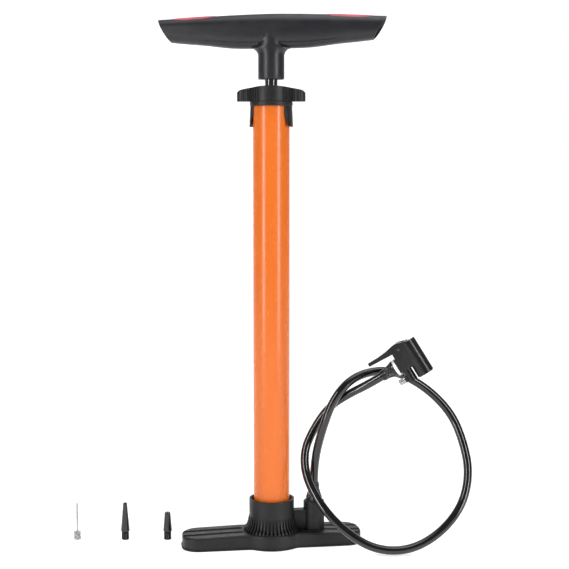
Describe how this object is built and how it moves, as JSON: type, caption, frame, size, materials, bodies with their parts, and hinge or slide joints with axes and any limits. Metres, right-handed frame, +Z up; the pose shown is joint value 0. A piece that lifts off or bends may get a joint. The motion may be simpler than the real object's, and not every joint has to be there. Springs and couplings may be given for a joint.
{
  "type": "ball inflation pump",
  "caption": "Upright hand pump for balls: steel barrel on a moulded foot, T handle and rod, stiff hose with a lever-locked inflation head, and loose needle and nozzles.",
  "frame": {"origin": "on the floor, under the barrel's axis, at the middle of the foot's underside", "axes": "+Z up along the barrel, +X along the foot towards the hose port, +Y to the back"},
  "size_m": [0.4152, 0.1173, 0.5552],
  "materials": {
    "black_moulding": "satin moulded",
    "handle_plastic": "satin moulded, fine grain",
    "orange_paint": "gloss paint on steel",
    "rod_black": "gloss black coated steel",
    "hose_black": "glossy extruded PVC",
    "soft_black": "satin moulded",
    "head_black": "semi-gloss moulded",
    "gloss_black": "gloss moulded",
    "pad_red": "soft touch, satin",
    "white_plastic": "moulded",
    "seal_rubber": "matt",
    "brass": "turned",
    "steel": "bright turned"
  },
  "bodies": {
    "pump": {"base_foot": "black_moulding", "barrel_socket": "black_moulding", "hose_port": "black_moulding", "barrel_gasket": "seal_rubber", "barrel_tube": "orange_paint", "top_collar": "black_moulding", "valve_seat": "brass", "check_spring": "steel", "port_washer": "seal_rubber", "hose_barb": "brass", "strain_relief": "soft_black", "hose": "hose_black", "head_ferrule": "soft_black", "head_washer": "white_plastic", "head_barb": "brass", "head_body": "head_black", "grommet_large": "seal_rubber", "nozzle_cap_large": "head_black", "grommet_small": "seal_rubber", "nozzle_cap_small": "head_black", "lever_pin": "rod_black", "bleed_screw": "steel", "ball_needle": "steel", "nozzle_long": "gloss_black", "nozzle_short": "gloss_black"},
    "guide": {"rod_guide": "white_plastic", "rod_wiper": "seal_rubber"},
    "cap": {"screw_cap": "black_moulding"},
    "seal": {"piston_seal": "seal_rubber"},
    "plunger": {"piston_rod": "rod_black", "handle_body": "handle_plastic", "grip_end_right": "handle_plastic", "grip_end_left": "handle_plastic", "handle_insert": "brass", "grip_pad_right": "pad_red", "grip_pad_left": "pad_red", "piston_nut": "steel", "piston_lower": "white_plastic", "piston_upper": "white_plastic", "stroke_bumper": "seal_rubber"},
    "lever": {"thumb_lever": "head_black"},
    "sleeve": {"press_sleeve": "white_plastic"},
    "valve_ball": {"check_ball": "steel"}
  },
  "joints": [
    {"name": "stroke", "type": "slide", "parent": "pump", "child": "seal", "axis": [0, 0, 1], "range_m": [0, 0.395]},
    {"name": "handle_spin", "type": "hinge", "parent": "seal", "child": "plunger", "pos_m": [0, 0, 0.4], "axis": [0, 0, 1], "continuous": true},
    {"name": "cap_turn", "type": "hinge", "parent": "guide", "child": "cap", "pos_m": [0, 0, 0.473], "axis": [0, 0, 1], "range_deg": [0, 720]},
    {"name": "cap_lift", "type": "slide", "parent": "pump", "child": "guide", "axis": [0, 0, 1], "range_m": [0, 0.006]},
    {"name": "lever_swing", "type": "hinge", "parent": "pump", "child": "lever", "pos_m": [0.12939, -0.03429, 0.21093], "axis": [0.3568, 0.9342, 0], "range_deg": [0, 90]},
    {"name": "clamp_slide", "type": "slide", "parent": "pump", "child": "sleeve", "axis": [0.5012, -0.1914, -0.8439], "range_m": [0, 0.002]},
    {"name": "ball_lift", "type": "slide", "parent": "pump", "child": "valve_ball", "axis": [0, 0, 1], "range_m": [0, 0.002], "stiffness_N_per_m": 60, "deforming": ["check_spring"]}
  ],
  "couplings": [
    {"joint": "cap_lift", "follows": "cap_turn", "m_per_rad": 0.000477},
    {"joint": "clamp_slide", "follows": "lever_swing", "m_per_rad": 0.0012732}
  ]
}
